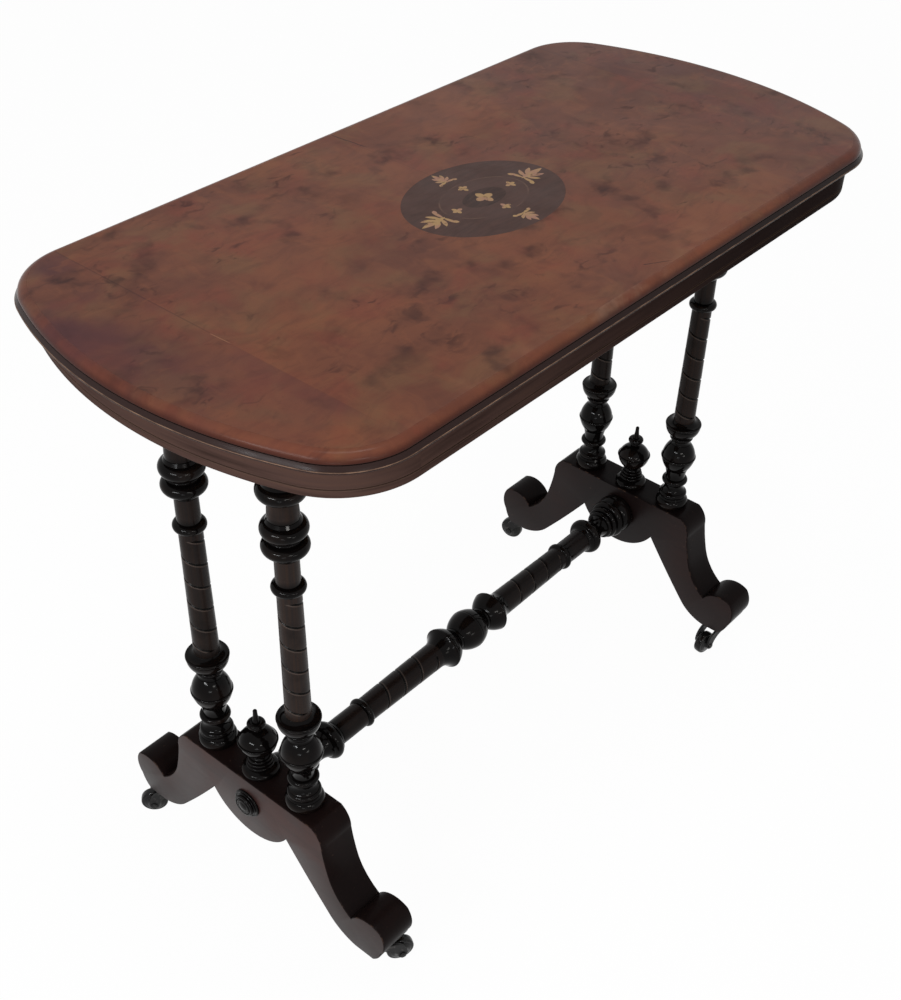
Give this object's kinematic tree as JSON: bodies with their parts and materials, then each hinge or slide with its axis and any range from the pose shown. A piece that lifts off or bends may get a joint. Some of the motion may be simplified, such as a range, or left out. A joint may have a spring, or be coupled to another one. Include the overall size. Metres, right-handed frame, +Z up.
{
  "type": "stretcher table",
  "caption": "Occasional table with a veneered oblong top, bowed ends and a marquetry oval, on paired turned columns, shaped feet and castors joined by a turned stretcher.",
  "frame": {"origin": "on the floor under the middle of the top", "axes": "+X along the top towards the far end, +Y towards the rear long side, +Z up"},
  "size_m": [0.898, 0.434, 0.726],
  "materials": {
    "burr_walnut": "French-polished burr walnut veneer",
    "walnut_edge": "polished walnut moulding",
    "frieze_walnut": "dark polished walnut",
    "pine": "bare aged softwood",
    "dark_veneer": "polished dark stained veneer",
    "heart_veneer": "polished dark stained veneer",
    "boxwood": "polished pale inlay, scorched for shade",
    "ebonised_turnings": "glossy black stain and polish",
    "ebonised_feet": "satin black stain and polish",
    "steel_fixings": "dull steel",
    "castor_iron": "dark worn iron",
    "castor_wheels": "dark worn iron"
  },
  "bodies": {
    "table": {"apron_far": "frieze_walnut", "apron_front": "frieze_walnut", "apron_near": "frieze_walnut", "apron_rear": "frieze_walnut", "bearer_far": "pine", "bearer_near": "pine", "bearer_screws": "steel_fixings", "burr_veneer": "burr_walnut", "castor_pintle_far_front": "castor_iron", "castor_pintle_far_rear": "castor_iron", "castor_pintle_near_front": "castor_iron", "castor_pintle_near_rear": "castor_iron", "castor_plate_far_front": "castor_iron", "castor_plate_far_rear": "castor_iron", "castor_plate_near_front": "castor_iron", "castor_plate_near_rear": "castor_iron", "castor_screws": "steel_fixings", "column_far_front": "ebonised_turnings", "column_far_rear": "ebonised_turnings", "column_near_front": "ebonised_turnings", "column_near_rear": "ebonised_turnings", "edge_far": "walnut_edge", "edge_front": "walnut_edge", "edge_near": "walnut_edge", "edge_rear": "walnut_edge", "finial_far": "ebonised_turnings", "finial_near": "ebonised_turnings", "foot_far": "ebonised_feet", "foot_near": "ebonised_feet", "glue_blocks": "pine", "inlay_florets": "boxwood", "inlay_flower": "boxwood", "inlay_sprays": "boxwood", "medallion_ground": "dark_veneer", "medallion_heart": "heart_veneer", "roundel_far": "ebonised_turnings", "roundel_near": "ebonised_turnings", "stretcher": "ebonised_turnings", "stretcher_bolts": "steel_fixings", "stretcher_nuts": "steel_fixings", "top_core": "pine"},
    "swivel_near_front": {"castor_horn_near_front": "castor_iron", "castor_axle_near_front": "castor_iron"},
    "wheel_near_front": {"castor_wheel_near_front": "castor_wheels"},
    "swivel_near_rear": {"castor_horn_near_rear": "castor_iron", "castor_axle_near_rear": "castor_iron"},
    "wheel_near_rear": {"castor_wheel_near_rear": "castor_wheels"},
    "swivel_far_front": {"castor_horn_far_front": "castor_iron", "castor_axle_far_front": "castor_iron"},
    "wheel_far_front": {"castor_wheel_far_front": "castor_wheels"},
    "swivel_far_rear": {"castor_horn_far_rear": "castor_iron", "castor_axle_far_rear": "castor_iron"},
    "wheel_far_rear": {"castor_wheel_far_rear": "castor_wheels"}
  },
  "joints": [
    {"name": "swivel_near_front", "type": "hinge", "parent": "table", "child": "swivel_near_front", "pos_m": [-0.344, -0.168, 0.0357], "axis": [0, 0, 1], "continuous": true},
    {"name": "swivel_near_rear", "type": "hinge", "parent": "table", "child": "swivel_near_rear", "pos_m": [-0.344, 0.168, 0.0357], "axis": [0, 0, 1], "continuous": true},
    {"name": "swivel_far_front", "type": "hinge", "parent": "table", "child": "swivel_far_front", "pos_m": [0.344, -0.168, 0.0357], "axis": [0, 0, 1], "continuous": true},
    {"name": "swivel_far_rear", "type": "hinge", "parent": "table", "child": "swivel_far_rear", "pos_m": [0.344, 0.168, 0.0357], "axis": [0, 0, 1], "continuous": true},
    {"name": "roll_near_front", "type": "hinge", "parent": "swivel_near_front", "child": "wheel_near_front", "pos_m": [-0.32281, -0.17927, 0.016], "axis": [0.4695, 0.8829, 0], "continuous": true},
    {"name": "roll_near_rear", "type": "hinge", "parent": "swivel_near_rear", "child": "wheel_near_rear", "pos_m": [-0.36184, 0.18406, 0.016], "axis": [-0.6691, -0.7431, 0], "continuous": true},
    {"name": "roll_far_front", "type": "hinge", "parent": "swivel_far_front", "child": "wheel_far_front", "pos_m": [0.32023, -0.16466, 0.016], "axis": [-0.1392, -0.9903, 0], "continuous": true},
    {"name": "roll_far_rear", "type": "hinge", "parent": "swivel_far_rear", "child": "wheel_far_rear", "pos_m": [0.33942, 0.19156, 0.016], "axis": [-0.9816, -0.1908, 0], "continuous": true}
  ]
}
